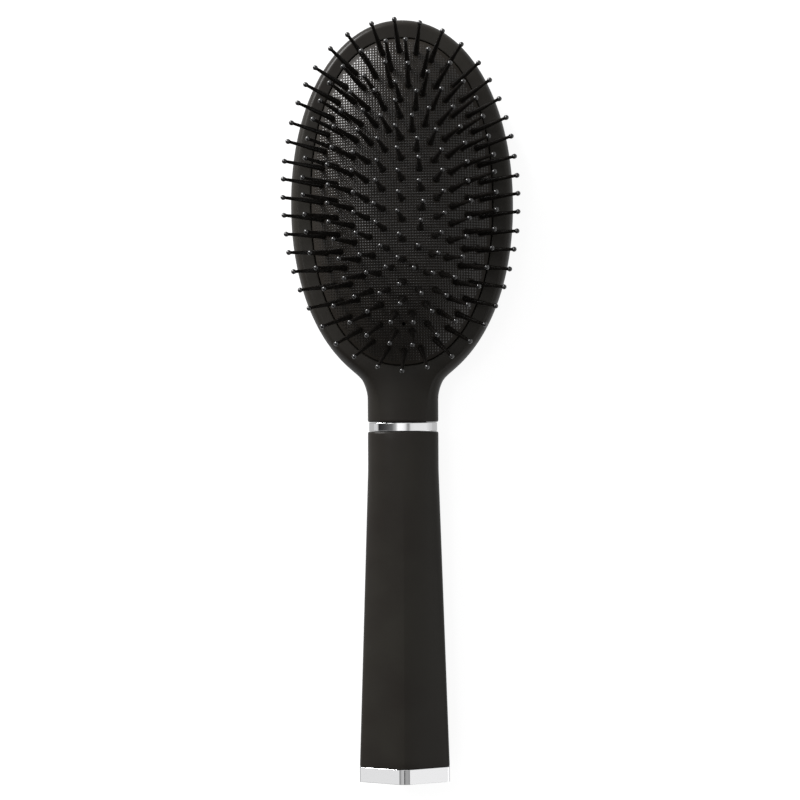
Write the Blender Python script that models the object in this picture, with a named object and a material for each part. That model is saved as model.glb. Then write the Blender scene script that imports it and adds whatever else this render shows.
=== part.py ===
"""Oval cushion brush lying on its back, pins up and head towards +Y.

Metres, +Z up. The origin is on the surface that the brush rests on, at the middle of its length.
"""
import math

import bmesh
import bpy
from mathutils import Vector

MM = 0.001

# The brush as a whole
OVERALL_LENGTH = 245 * MM
BODY_DEPTH = 15 * MM  # back face to front face of the head, without the cushion
MID_DEPTH = BODY_DEPTH / 2
FIT_GAP = 0.3 * MM  # between pieces that touch

# Head plan: an oval that runs into a straight neck
HEAD_HALF_WIDTH = 35.78 * MM
HEAD_CENTRE_Y = 63 * MM
HEAD_UPPER_REACH = OVERALL_LENGTH / 2 - HEAD_CENTRE_Y
HEAD_LOWER_REACH = 58.87 * MM
HEAD_POWER = 2.08
NECK_HALF_WIDTH = 11.38 * MM
NECK_BLEND = 12.9  # a higher power makes a tighter corner where the neck meets the oval
NECK_FLARE = 0.004 / MM ** 2  # how fast the neck spreads in a curve towards the head
FLARE_FROM_Y = 0.5 * MM
FLARE_FADE = 10.7 * MM  # how far up the spread dies out again, inside the oval
NECK_END_Y = -6.8 * MM

# Head section: a wide round to the back, a tighter one to the front rim
WIDEST_HEIGHT = 8 * MM
BACK_ROUND = 9 * MM
FRONT_ROUND = 2.6 * MM

# Recess for the cushion, measured from its centre on the front face
CUSHION_CENTRE_Y = 63.6 * MM
SEAM_HALF_WIDTH = 28.95 * MM
SEAM_HALF_LENGTH = 52.2 * MM
SEAM_POWER = 2.22
LIP_THICKNESS = 1.6 * MM
GROOVE_HEIGHT = 2 * MM
GROOVE_REACH = 1.7 * MM  # how far the groove goes out under the lip
CHAMBER_INSET = 1 * MM
BACK_WALL = 4 * MM

# Cushion: a domed membrane
DOME_HEIGHT = 10 * MM
DOME_POWER = 3.1
SLICE_THICKNESS = 1.1 * MM  # the layer that carries the pins
MEMBRANE_THICKNESS = 0.9 * MM
MARGIN = 1.9 * MM  # bare strip of cushion inside the seam
WALL_INSET = 2.3 * MM  # from the seam in to the membrane's inner wall
VENT_RADIUS = 0.55 * MM

# Pins, ring by ring from the outside in: half width and half length of the oval, number of pins,
# and where along the spacing the first pin stands, counted from the top of the head
PIN_RINGS = (
    (25.5 * MM, 47.8 * MM, 44, 0.0),
    (21.0 * MM, 41.8 * MM, 38, 0.5),
    (16.1 * MM, 36.5 * MM, 32, 0.5),
    (11.2 * MM, 31.4 * MM, 24, 0.0),
    (6.2 * MM, 26.2 * MM, 18, 0.0),
)
RING_POWER = 2.1
ROW_HALF_LENGTH = 19.2 * MM
ROW_COUNT = 7
CROWN_HALF_WIDTH = 1.5 * MM  # narrow oval along the row, inside which the cushion is level
PIN_LENGTH = 16 * MM
PIN_FOOT_RADIUS = 1 * MM
PIN_NECK_RADIUS = 0.45 * MM
PIN_BALL_RADIUS = 0.84 * MM
PIN_ROOT = 0.45 * MM  # how deep the pin's foot goes into its slice
PIN_SIDES = 4
SPREAD_ACROSS = 1.4  # pins lean outwards a little more than the dome's surface turns
SPREAD_ALONG = 1.06

# Neck ring, handle and end cap
TANG_HALF_WIDTH = 7.5 * MM
TANG_HALF_DEPTH = 4 * MM
TANG_END_Y = -42 * MM
TANG_POWER = 3
RING_END_Y = -9.4 * MM
RING_RECESS = 0.4 * MM
RING_BULGE = 0.05 * MM
NECK_SECTION_POWER = 2.4
HANDLE_START_Y = RING_END_Y - FIT_GAP
HANDLE_END_Y = -117.6 * MM
HANDLE_EDGE = 0.5 * MM
FLARE_START_Y = -22 * MM
HANDLE_END_HALF_WIDTH = 14.5 * MM
CAP_START_Y = HANDLE_END_Y - FIT_GAP
CAP_END_Y = -OVERALL_LENGTH / 2
CAP_EDGE = 0.3 * MM
PLUG_LENGTH = 10 * MM
PLUG_WALL = 1.4 * MM

# End section of the handle: a flattened diamond with upright sides. Its sloping faces are given by
# the half width and half depth at which each would cross the axes.
BROAD_FACES = (19.14 * MM, 8.12 * MM)
RIDGE_FACES = (150 * MM, MID_DEPTH)  # nearly flat: a strip along the middle
DIAMOND_ROUNDING = 16  # a higher power makes the corners between the faces sharper
FLARE_POWER = 0.8  # below 1, the diamond starts to show early along the handle

NECK_ROWS = (-12 * MM, -1.5 * MM, 5 * MM)  # rows on the neck, from its end; the first are cut off
HEAD_POINTS = 16  # points on a quarter of the head's outline
BACK_STEPS = 5
FRONT_STEPS = 4
HANDLE_STATIONS = 7
OVAL_POINTS = 40
SECTION_POINTS = 40


def remove_startup_objects():
    for item in list(bpy.data.objects):
        bpy.data.objects.remove(item, do_unlink=True)


def new_collection(name):
    collection = bpy.data.collections.new(name)
    bpy.context.scene.collection.children.link(collection)
    return collection


def plain_material(name, color, roughness, metallic):
    material = bpy.data.materials.new(name)
    material.use_nodes = True
    shader = material.node_tree.nodes["Principled BSDF"]
    shader.inputs["Base Color"].default_value = (*color, 1)
    shader.inputs["Roughness"].default_value = roughness
    shader.inputs["Metallic"].default_value = metallic
    return material


def signed_power(value, power):
    return math.copysign(abs(value) ** power, value)


def superellipse(half_width, half_length, power, count):
    """Points round an oval, counted from its +X end towards +Y."""
    points = []
    for step in range(count):
        angle = math.tau * step / count
        points.append((half_width * signed_power(math.cos(angle), 2 / power),
                       half_length * signed_power(math.sin(angle), 2 / power)))
    return points


def spaced_on_oval(half_width, half_length, power, count, phase):
    """Points at equal distances round an oval, counted from its +Y end towards -X."""
    fine = superellipse(half_width, half_length, power, 720)
    fine = fine[180:] + fine[:181]
    lengths = [0.0]
    for start, end in zip(fine, fine[1:]):
        lengths.append(lengths[-1] + math.dist(start, end))
    points = []
    index = 0
    for step in range(count):
        wanted = (step + phase) / count * lengths[-1]
        while lengths[index + 1] < wanted:
            index += 1
        share = (wanted - lengths[index]) / (lengths[index + 1] - lengths[index])
        start, end = fine[index], fine[index + 1]
        points.append((start[0] + share * (end[0] - start[0]), start[1] + share * (end[1] - start[1])))
    return points


def oval_share(x, y):
    """0 at the cushion's centre, 1 on its seam."""
    across = (abs(x) / SEAM_HALF_WIDTH) ** SEAM_POWER
    along = (abs(y) / SEAM_HALF_LENGTH) ** SEAM_POWER
    return (across + along) ** (1 / SEAM_POWER)


def dome_height(x, y):
    """Height of the cushion's face above the head's front face."""
    return DOME_HEIGHT * (1 - min(oval_share(x, y), 1) ** DOME_POWER)


def dome_slope(x, y):
    """How steeply the cushion's face falls outwards along X and along Y."""
    common = DOME_HEIGHT * DOME_POWER * oval_share(x, y) ** (DOME_POWER - SEAM_POWER)
    across = signed_power(x / SEAM_HALF_WIDTH, SEAM_POWER - 1) / SEAM_HALF_WIDTH
    along = signed_power(y / SEAM_HALF_LENGTH, SEAM_POWER - 1) / SEAM_HALF_LENGTH
    return common * across, common * along


def head_half_width(y):
    """Half the head's width at y, from the middle of the head down to the neck."""
    below = (HEAD_CENTRE_Y - y) / HEAD_LOWER_REACH
    oval = HEAD_HALF_WIDTH * max(1 - below ** HEAD_POWER, 0) ** (1 / HEAD_POWER)
    up = max(y - FLARE_FROM_Y, 0)
    neck = NECK_HALF_WIDTH * (1 + NECK_FLARE * up ** 2 / (1 + (up / FLARE_FADE) ** 4))
    neck *= min(2 * below, 1)  # full from half way down, nothing at the middle
    return (oval ** NECK_BLEND + neck ** NECK_BLEND) ** (1 / NECK_BLEND)


def head_outline():
    """The head's plan as a closed loop, from past the neck's end up the right and down the left."""
    right = [(NECK_HALF_WIDTH, NECK_END_Y + above) for above in NECK_ROWS]
    for step in range(HEAD_POINTS, 0, -1):
        y = HEAD_CENTRE_Y - HEAD_LOWER_REACH * math.sin(math.pi / 2 * step / HEAD_POINTS)
        right.append((head_half_width(y), y))
    upper = superellipse(HEAD_HALF_WIDTH, HEAD_UPPER_REACH, HEAD_POWER, 4 * HEAD_POINTS)
    right += [(x, HEAD_CENTRE_Y + y) for x, y in upper[:HEAD_POINTS]]
    left = [(-x, y) for x, y in reversed(right)]
    return right + [(0.0, HEAD_CENTRE_Y + HEAD_UPPER_REACH)] + left


def inset_loop(points, distance):
    """The loop moved inwards by an equal distance."""
    moved = []
    for index, point in enumerate(points):
        before = Vector(points[index - 1])
        after = Vector(points[(index + 1) % len(points)])
        run = (after - before).normalized()
        moved.append((point[0] - distance * run.y, point[1] + distance * run.x))
    return moved


def loft(name, loops, material, collection, closed=False):
    """Joins loops of points, each of the same count, with caps unless the loops close in a ring."""
    mesh = bpy.data.meshes.new(name)
    bm = bmesh.new()
    rows = [[bm.verts.new(point) for point in loop] for loop in loops]
    pairs = list(zip(rows, rows[1:]))
    if closed:
        pairs.append((rows[-1], rows[0]))
    else:
        bm.faces.new(rows[0])
        bm.faces.new(rows[-1])
    for lower, upper in pairs:
        for index in range(len(lower)):
            after = (index + 1) % len(lower)
            bm.faces.new((lower[index], lower[after], upper[after], upper[index]))
    bmesh.ops.recalc_face_normals(bm, faces=bm.faces[:])
    bm.to_mesh(mesh)
    bm.free()
    mesh.materials.append(material)
    piece = bpy.data.objects.new(name, mesh)
    collection.objects.link(piece)
    return piece


def level(points, height):
    return [(x, y, height) for x, y in points]


def combine(piece, other, operation):
    """Cuts the other shape out of the piece, or joins it on, and hides the other shape."""
    other.hide_render = True
    other.display_type = "WIRE"
    modifier = piece.modifiers.new(other.name, "BOOLEAN")
    modifier.operation = operation
    modifier.solver = "EXACT"
    modifier.object = other


def shade_round(piece, degrees):
    piece.data.shade_smooth()
    piece.data.set_sharp_from_angle(angle=math.radians(degrees))


def section_loop(half_width, half_depth, power, y):
    """A rounded section square to the brush's length, about its mid-depth."""
    points = superellipse(half_width, half_depth, power, SECTION_POINTS)
    return [(x, y, MID_DEPTH + z) for x, z in points]


def diamond_radius(angle):
    """Distance from the middle to the edge of the handle's end section."""
    across = abs(math.cos(angle))
    up = abs(math.sin(angle))
    closeness = (across / HANDLE_END_HALF_WIDTH) ** DIAMOND_ROUNDING
    for half_width, half_depth in (BROAD_FACES, RIDGE_FACES):
        closeness += (across / half_width + up / half_depth) ** DIAMOND_ROUNDING
    return closeness ** (-1 / DIAMOND_ROUNDING)


def handle_loop(y, inset=0.0):
    """The handle's section at y: rounded at the neck, a flattened diamond at the end."""
    along = min(max((FLARE_START_Y - y) / (FLARE_START_Y - HANDLE_END_Y), 0), 1)
    half_width = NECK_HALF_WIDTH + along * (HANDLE_END_HALF_WIDTH - NECK_HALF_WIDTH)
    points = []
    for x, z in superellipse(HANDLE_END_HALF_WIDTH, MID_DEPTH, NECK_SECTION_POWER, SECTION_POINTS):
        angle = math.atan2(z, x)
        diamond = diamond_radius(angle) * Vector((math.cos(angle), math.sin(angle)))
        point = Vector((x, z)).lerp(diamond, along ** FLARE_POWER)
        point.x *= half_width / HANDLE_END_HALF_WIDTH
        point -= point.normalized() * inset
        points.append((point.x, y, MID_DEPTH + point.y))
    return points


def build_head_shell(material, collection, cutters):
    outline = head_outline()
    loops = []
    for step in range(BACK_STEPS + 1):
        angle = math.pi / 2 * step / BACK_STEPS
        inset = BACK_ROUND * (1 - math.sin(angle))
        loops.append(level(inset_loop(outline, inset), WIDEST_HEIGHT * (1 - math.cos(angle))))
    for step in range(1, FRONT_STEPS + 1):
        angle = math.pi / 2 * step / FRONT_STEPS
        inset = FRONT_ROUND * (1 - math.cos(angle))
        height = WIDEST_HEIGHT + (BODY_DEPTH - WIDEST_HEIGHT) * math.sin(angle)
        loops.append(level(inset_loop(outline, inset), height))
    shell = loft("head_shell", loops, material, collection)
    cut_neck_square(shell)
    tang = loft("tang_shape", [
        section_loop(TANG_HALF_WIDTH, TANG_HALF_DEPTH, TANG_POWER, y)
        for y in (NECK_END_Y + 3 * MM, TANG_END_Y)], material, cutters)
    combine(shell, tang, "UNION")
    combine(shell, build_recess_cutter(material, cutters), "DIFFERENCE")
    shade_round(shell, 40)
    return shell


def cut_neck_square(shell):
    bm = bmesh.new()
    bm.from_mesh(shell.data)
    cut = bmesh.ops.bisect_plane(
        bm, geom=bm.verts[:] + bm.edges[:] + bm.faces[:], plane_co=(0, NECK_END_Y, 0),
        plane_no=(0, -1, 0), clear_outer=True)
    edges = [item for item in cut["geom_cut"] if isinstance(item, bmesh.types.BMEdge)]
    bmesh.ops.edgeloop_fill(bm, edges=edges)
    bmesh.ops.recalc_face_normals(bm, faces=bm.faces[:])
    bm.to_mesh(shell.data)
    bm.free()


def seam_oval(offset):
    """The cushion's seam made larger or smaller all round."""
    return superellipse(SEAM_HALF_WIDTH + offset, SEAM_HALF_LENGTH + offset, SEAM_POWER, OVAL_POINTS)


def build_recess_cutter(material, cutters):
    lip_bottom = BODY_DEPTH - LIP_THICKNESS
    groove_bottom = lip_bottom - GROOVE_HEIGHT
    steps = (
        (FIT_GAP / 2, BODY_DEPTH + 2 * MM), (FIT_GAP / 2, lip_bottom),
        (GROOVE_REACH, lip_bottom), (GROOVE_REACH, groove_bottom),
        (-CHAMBER_INSET, groove_bottom), (-CHAMBER_INSET, BACK_WALL),
    )
    loops = [[(x, CUSHION_CENTRE_Y + y, height) for x, y in seam_oval(offset)]
             for offset, height in steps]
    return loft("recess_shape", loops, material, cutters)


def pin_ovals():
    """Half width and half length of each pin ring and, last, of the row in the middle."""
    return [ring[:2] for ring in PIN_RINGS] + [(0.0, ROW_HALF_LENGTH)]


def slice_edge(index):
    """The oval half way between two pin rings, or the outer edge of the outermost slice."""
    ovals = pin_ovals()
    if index == 0:
        return SEAM_HALF_WIDTH - MARGIN, SEAM_HALF_LENGTH - MARGIN
    outer, inner = ovals[index - 1], ovals[index]
    return (outer[0] + inner[0]) / 2, (outer[1] + inner[1]) / 2


def on_dome(half_width, half_length, depth, power=RING_POWER):
    """An oval laid on the cushion's face, or at a depth under it."""
    points = superellipse(half_width, half_length, power, OVAL_POINTS)
    return [(x, y, dome_height(x, y) - depth) for x, y in points]


def build_cushion(material, collection, vent):
    """The rubber membrane: open underneath, with a bead that sits in the head's groove."""
    bead_top = -LIP_THICKNESS - FIT_GAP
    bead_bottom = -LIP_THICKNESS - GROOVE_HEIGHT + FIT_GAP
    bead_edge = GROOVE_REACH - FIT_GAP
    seat_depth = SLICE_THICKNESS + FIT_GAP
    ovals = [slice_edge(index) for index in range(1, len(PIN_RINGS) + 1)]
    ovals.append((CROWN_HALF_WIDTH, ROW_HALF_LENGTH))
    seat = slice_edge(0)
    seat = (seat[0] + FIT_GAP, seat[1] + FIT_GAP)

    under = [on_dome(*oval, seat_depth + MEMBRANE_THICKNESS) for oval in reversed(ovals)]
    wall = seam_oval(-WALL_INSET)
    loops = under + [
        [(x, y, dome_height(x, y) - seat_depth - MEMBRANE_THICKNESS) for x, y in wall],
        level(wall, bead_bottom),
        level(seam_oval(bead_edge), bead_bottom),
        level(seam_oval(bead_edge), bead_top),
        level(seam_oval(-FIT_GAP / 2), bead_top),
        [(x, y, dome_height(x, y)) for x, y in seam_oval(-FIT_GAP / 2)],
        [(x, y, dome_height(x, y)) for x, y in seam_oval(-MARGIN / 2)],
        on_dome(*seat, 0, power=SEAM_POWER),
        on_dome(*seat, seat_depth, power=SEAM_POWER),
    ]
    loops += [on_dome(*oval, seat_depth) for oval in ovals]
    cushion = loft("cushion_pad", loops, material, collection)
    combine(cushion, vent, "DIFFERENCE")
    shade_round(cushion, 50)
    return cushion


def build_vent_cutter(material, cutters):
    """The vent hole lies on the line between the second and the third ring of pins."""
    height = 2 * DOME_HEIGHT
    bpy.ops.mesh.primitive_cylinder_add(vertices=8, radius=VENT_RADIUS, depth=height)
    vent = bpy.context.object
    vent.name = "vent_shape"
    vent.location = (0, -slice_edge(2)[1], 0)
    vent.data.materials.append(material)
    for owner in list(vent.users_collection):
        owner.objects.unlink(vent)
    cutters.objects.link(vent)
    return vent


def add_pin(bm, x, y):
    """One tapered pin with a ball tip, standing on the dome and leaning outwards."""
    across, along = dome_slope(x, y)
    tilt = Vector((SPREAD_ACROSS * across, SPREAD_ALONG * along, 1)).normalized()
    turn = Vector((0, 0, 1)).rotation_difference(tilt)
    foot = Vector((x, y, dome_height(x, y)))
    outline = (
        (-PIN_ROOT, PIN_FOOT_RADIUS),
        (PIN_LENGTH - 2 * PIN_BALL_RADIUS, PIN_NECK_RADIUS),
        (PIN_LENGTH - PIN_BALL_RADIUS, PIN_BALL_RADIUS),
    )
    rows = []
    for height, radius in outline:
        row = []
        for side in range(PIN_SIDES):
            angle = math.tau * side / PIN_SIDES
            spot = Vector((radius * math.cos(angle), radius * math.sin(angle), height))
            row.append(bm.verts.new(foot + turn @ spot))
        rows.append(row)
    tip = bm.verts.new(foot + tilt * PIN_LENGTH)
    bm.faces.new(reversed(rows[0]))
    for side in range(PIN_SIDES):
        after = (side + 1) % PIN_SIDES
        for lower, upper in zip(rows, rows[1:]):
            bm.faces.new((lower[side], lower[after], upper[after], upper[side]))
        bm.faces.new((rows[-1][side], rows[-1][after], tip))


def build_pins(name, spots, material, cutters):
    mesh = bpy.data.meshes.new(name)
    bm = bmesh.new()
    for x, y in spots:
        add_pin(bm, x, y)
    bm.to_mesh(mesh)
    bm.free()
    mesh.materials.append(material)
    pins = bpy.data.objects.new(name, mesh)
    cutters.objects.link(pins)
    return pins


def build_pin_ring(index, material, collection, cutters):
    """One ring of pins on the slice of cushion skin that carries it."""
    half_width, half_length, count, phase = PIN_RINGS[index]
    outer = slice_edge(index)
    inner = slice_edge(index + 1)
    outer_trim = 0 if index == 0 else FIT_GAP / 2
    outer = (outer[0] - outer_trim, outer[1] - outer_trim)
    inner = (inner[0] + FIT_GAP / 2, inner[1] + FIT_GAP / 2)
    outer_power = SEAM_POWER if index == 0 else RING_POWER
    loops = [
        on_dome(*outer, 0, outer_power), on_dome(*inner, 0),
        on_dome(*inner, SLICE_THICKNESS), on_dome(*outer, SLICE_THICKNESS, outer_power),
    ]
    name = f"pin_ring_{index + 1}"
    ring = loft(name, loops, material, collection, closed=True)
    spots = spaced_on_oval(half_width, half_length, RING_POWER, count, phase)
    combine(ring, build_pins(f"{name}_pins", spots, material, cutters), "UNION")
    return ring


def build_pin_row(material, collection, cutters):
    """The row of pins along the middle of the cushion."""
    edge = slice_edge(len(PIN_RINGS))
    edge = (edge[0] - FIT_GAP / 2, edge[1] - FIT_GAP / 2)
    crown = (CROWN_HALF_WIDTH, ROW_HALF_LENGTH)
    loops = [on_dome(*oval, depth) for oval, depth in (
        (crown, 0), (edge, 0), (edge, SLICE_THICKNESS), (crown, SLICE_THICKNESS))]
    row = loft("pin_row_centre", loops, material, collection)
    spacing = 2 * ROW_HALF_LENGTH / (ROW_COUNT - 1)
    spots = [(0.0, ROW_HALF_LENGTH - spacing * step) for step in range(ROW_COUNT)]
    combine(row, build_pins("pin_row_centre_pins", spots, material, cutters), "UNION")
    return row


def bore_shape(name, start_y, end_y, material, cutters):
    """Cutter for a bore that takes the tang and the cap's plug."""
    loops = [section_loop(TANG_HALF_WIDTH + FIT_GAP, TANG_HALF_DEPTH + FIT_GAP, TANG_POWER, y)
             for y in (start_y, end_y)]
    return loft(name, loops, material, cutters)


def build_neck_ring(material, collection, cutters):
    start = NECK_END_Y - FIT_GAP
    middle = (start + RING_END_Y) / 2
    loops = []
    for y, bulge in ((start, 0), (middle, RING_BULGE), (RING_END_Y, 0)):
        loops.append(section_loop(NECK_HALF_WIDTH - RING_RECESS + bulge,
                                  MID_DEPTH - RING_RECESS + bulge, NECK_SECTION_POWER, y))
    ring = loft("neck_ring", loops, material, collection)
    bore = bore_shape("ring_bore_shape", start + 2 * MM, RING_END_Y - 2 * MM, material, cutters)
    combine(ring, bore, "DIFFERENCE")
    shade_round(ring, 40)
    return ring


def build_handle(material, collection, cutters):
    loops = [handle_loop(HANDLE_START_Y, HANDLE_EDGE)]
    body_start = HANDLE_START_Y - HANDLE_EDGE
    for step in range(HANDLE_STATIONS + 1):
        along = step / HANDLE_STATIONS
        loops.append(handle_loop(body_start + (HANDLE_END_Y - body_start) * along))
    handle = loft("handle", loops, material, collection)
    bore = bore_shape("handle_bore_shape", HANDLE_START_Y + 2 * MM, HANDLE_END_Y - 2 * MM,
                      material, cutters)
    combine(handle, bore, "DIFFERENCE")
    shade_round(handle, 40)
    return handle


def build_end_cap(material, collection, cutters):
    """The cap continues the handle's end section, and its hollow plug goes into the bore."""
    cap = loft("end_cap", [
        handle_loop(CAP_START_Y), handle_loop(CAP_END_Y + CAP_EDGE),
        handle_loop(CAP_END_Y, CAP_EDGE)], material, collection)
    plug_end = HANDLE_END_Y + PLUG_LENGTH
    plug = loft("plug_shape", [
        section_loop(TANG_HALF_WIDTH, TANG_HALF_DEPTH, TANG_POWER, y)
        for y in (CAP_START_Y - 1 * MM, plug_end)], material, cutters)
    hollow = loft("plug_hollow_shape", [
        section_loop(TANG_HALF_WIDTH - PLUG_WALL, TANG_HALF_DEPTH - PLUG_WALL, TANG_POWER, y)
        for y in (CAP_START_Y - 2 * MM, plug_end + 1 * MM)], material, cutters)
    combine(cap, plug, "UNION")
    combine(cap, hollow, "DIFFERENCE")
    shade_round(cap, 20)
    return cap


def main():
    remove_startup_objects()
    collection = new_collection("cushion_brush")
    cutters = new_collection("cutters")
    soft_touch = plain_material("soft_touch_plastic", (0.023, 0.021, 0.02), 0.55, 0)
    rubber = plain_material("cushion_rubber", (0.02, 0.019, 0.018), 0.35, 0)
    nylon = plain_material("pin_nylon", (0.008, 0.007, 0.007), 0.3, 0)
    chrome = plain_material("chrome_plate", (0.8, 0.8, 0.8), 0.08, 1)

    build_head_shell(soft_touch, collection, cutters)
    build_neck_ring(chrome, collection, cutters)
    build_handle(soft_touch, collection, cutters)
    build_end_cap(chrome, collection, cutters)

    cushion_axis = bpy.data.objects.new("cushion_axis", None)
    cushion_axis.location = (0, CUSHION_CENTRE_Y, BODY_DEPTH)
    collection.objects.link(cushion_axis)
    vent = build_vent_cutter(rubber, cutters)
    moving = [build_cushion(rubber, collection, vent), build_pin_row(nylon, collection, cutters)]
    for index in range(len(PIN_RINGS)):
        moving.append(build_pin_ring(index, nylon, collection, cutters))
    for ring in moving[3:5]:
        combine(ring, vent, "DIFFERENCE")
    for piece in moving + [item for item in cutters.objects if item.name.endswith("_pins")] + [vent]:
        piece.parent = cushion_axis


main()
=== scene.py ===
import math
import random

import bmesh
import bpy
from mathutils import Matrix, Vector
from mathutils.kdtree import KDTree


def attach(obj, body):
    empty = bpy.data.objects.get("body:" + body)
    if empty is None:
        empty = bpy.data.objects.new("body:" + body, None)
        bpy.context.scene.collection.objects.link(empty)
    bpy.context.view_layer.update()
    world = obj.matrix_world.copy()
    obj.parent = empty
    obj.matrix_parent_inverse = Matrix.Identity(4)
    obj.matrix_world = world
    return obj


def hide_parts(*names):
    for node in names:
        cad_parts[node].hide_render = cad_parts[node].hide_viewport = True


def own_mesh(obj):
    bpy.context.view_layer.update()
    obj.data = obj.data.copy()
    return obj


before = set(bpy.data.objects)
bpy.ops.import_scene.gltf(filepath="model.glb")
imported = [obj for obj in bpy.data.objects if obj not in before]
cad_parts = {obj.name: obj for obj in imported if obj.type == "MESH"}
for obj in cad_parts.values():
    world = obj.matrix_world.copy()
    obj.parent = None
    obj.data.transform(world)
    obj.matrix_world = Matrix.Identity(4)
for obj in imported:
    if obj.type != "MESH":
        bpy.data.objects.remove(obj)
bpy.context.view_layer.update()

# An oval cushion brush that lies on its back, pins up and head towards +Y.
# Pieces are modelled in millimetres, and finishPiece shrinks them to metres.
mm = 0.001
midDepth = 7.5      # height of the body's middle
frontFace = 15      # height of the head's front face
onCut = 0.0001      # a point this near to a cutting plane counts as on it
weldGap = 0.002     # points of a piece this near to each other become one
mostNoise = (0.3, 0.7)      # nearly all of a noise's values lie between these
print("frame loaded with", len(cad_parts), "nodes")


def toLinear(hexColour):
    # sRGB hex to the linear values that sockets hold
    values = [int(hexColour[place:place + 2], 16) / 255 for place in (1, 3, 5)]
    return [v / 12.92 if v <= 0.04045 else ((v + 0.055) / 1.055) ** 2.4 for v in values] + [1]


def grey(level):
    return level, level, level, 1


def addNode(tree, kind, settings=None, links=None):
    # settings name a socket or a property; stops fill a colour ramp
    node = tree.nodes.new(kind)
    for key, value in (settings or {}).items():
        if key == "stops":
            ramp = node.color_ramp.elements
            ramp[0].position, ramp[1].position = value[0][0], value[-1][0]
            for place, shade in value[1:-1]:
                ramp.new(place)
            for stop, (place, shade) in zip(ramp, value):
                stop.color = shade
        elif isinstance(key, int) or key in node.inputs:
            node.inputs[key].default_value = value
        else:
            setattr(node, key, value)
    for key, output in (links or {}).items():
        tree.links.new(output, node.inputs[key])
    return node


def newFinish(name, shaderSettings):
    # a material with its Principled shader set, and the object's own coordinates
    finish = bpy.data.materials.new(name)
    finish.use_nodes = True
    tree = finish.node_tree
    shader = tree.nodes["Principled BSDF"]
    for key, value in shaderSettings.items():
        shader.inputs[key].default_value = value
    place = addNode(tree, "ShaderNodeTexCoord").outputs["Object"]
    return finish, tree, shader, place


def grainScale(sizeMm):
    # noise scale whose blotches are about this many millimetres across
    return 1 / (sizeMm * mm)


# camera: the photograph looks straight down from close above the brush's middle
view = {
    "foot": (7, -1.9), "height": 657.5,             # the place that it stands over, and how high
    "aim": (-0.97, 0.31, 7.5), "roll": -0.29,       # what it looks at, and degrees of turn about that line
    "lens": 90.62, "sensor": 36, "clipStart": 10,
}


def placeCamera():
    eye = Vector((*view["foot"], view["height"])) * mm
    ahead = (Vector(view["aim"]) * mm - eye).normalized()
    right = ahead.cross(Vector((0, 1, 0))).normalized()
    up = right.cross(ahead)
    turn = Matrix((right, up, -ahead)).transposed().to_4x4()
    data = bpy.data.cameras.new("photoCamera")
    data.lens = view["lens"]
    data.sensor_width = view["sensor"]
    data.clip_start = view["clipStart"] * mm
    camera = bpy.data.objects.new("photoCamera", data)
    camera.matrix_world = (Matrix.Translation(eye) @ turn
                           @ Matrix.Rotation(math.radians(view["roll"]), 4, "Z"))
    bpy.context.scene.collection.objects.link(camera)
    bpy.context.scene.camera = camera


# light: a strong softbox low at the upper left, a small one high over the brush and a weak one opposite
studio = {
    "mainBox": {"azimuth": 131, "elevation": 16.5, "distance": 1.4, "size": (0.75, 0.75), "radiance": 21.5},
    "highBox": {"azimuth": 153, "elevation": 66, "distance": 0.5, "size": (0.12, 0.12), "radiance": 5.3},
    "sideBox": {"azimuth": -32, "elevation": 22, "distance": 1.5, "size": (1.35, 0.8), "radiance": 1.1},
    "ambient": 0.42,        # what the room gives to matt surfaces
    "floorSize": 4.0,
    "floorDrop": 0.00005,   # metres under the brush
    "floorGlow": 0.86,      # seen brightness of the floor without light, and what light adds to it
    "floorWhite": 0.3,
    "floorBounce": 0.8,     # the floor as matt surfaces see it
    "floorMirrored": 0.55,  # the floor as glossy surfaces see it: its far parts are in the dark
}


def addSoftbox(name, box):
    around, above = math.radians(box["azimuth"]), math.radians(box["elevation"])
    away = Vector((math.cos(around) * math.cos(above), math.sin(around) * math.cos(above), math.sin(above)))
    data = bpy.data.lights.new(name, "AREA")
    data.shape = "RECTANGLE"
    data.size, data.size_y = box["size"]
    data.energy = box["radiance"] * math.pi * data.size * data.size_y
    lamp = bpy.data.objects.new(name, data)
    lamp.location = away * box["distance"]
    lamp.rotation_euler = away.to_track_quat("Z", "Y").to_euler()
    bpy.context.scene.collection.objects.link(lamp)


# what gloss and chrome mirror: (place, grey level) from the left wall at 0 to the right wall at 1
room = {
    # beyond the head: a grey corner, a black flag, a bright gap in the middle and a pale wall
    "upper": ((0, 0.3), (0.04, 0.3), (0.07, 0.03), (0.3, 0.06), (0.41, 0.4), (0.46, 0.9), (0.53, 0.9),
              (0.6, 0.4), (0.8, 0.7), (1, 0.8)),
    # level with the brush: the same with a pale corner, and the dark camera at the right of the gap
    "middle": ((0, 0.7), (0.04, 0.7), (0.07, 0.025), (0.18, 0.05), (0.28, 0.09), (0.36, 0.15),
               (0.42, 0.48), (0.45, 1.2), (0.49, 1.2), (0.515, 0.8), (0.535, 0.32), (0.555, 0.32),
               (0.58, 0.8), (0.65, 0.88), (0.9, 0.88), (1, 0.66)),
    # beyond the handle's end: a strip light at each side and a black gap in the middle
    "lower": ((0, 0.1), (0.06, 0.86), (0.25, 0.86), (0.3, 0.2), (0.42, 0.55), (0.465, 0.55), (0.47, 0),
              (0.53, 0), (0.535, 0.37), (0.6, 0.4), (0.7, 0.25), (0.75, 0.96), (0.89, 0.96), (0.9, 0.05),
              (1, 0.05)),
    "farWall": 0.12,        # further down than these
    # where each part fades in, as the Y of a direction
    "upperFrom": (0.02, 0.1), "lowerFrom": (-0.06, -0.12), "farWallFrom": (-0.22, -0.3),
}


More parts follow.
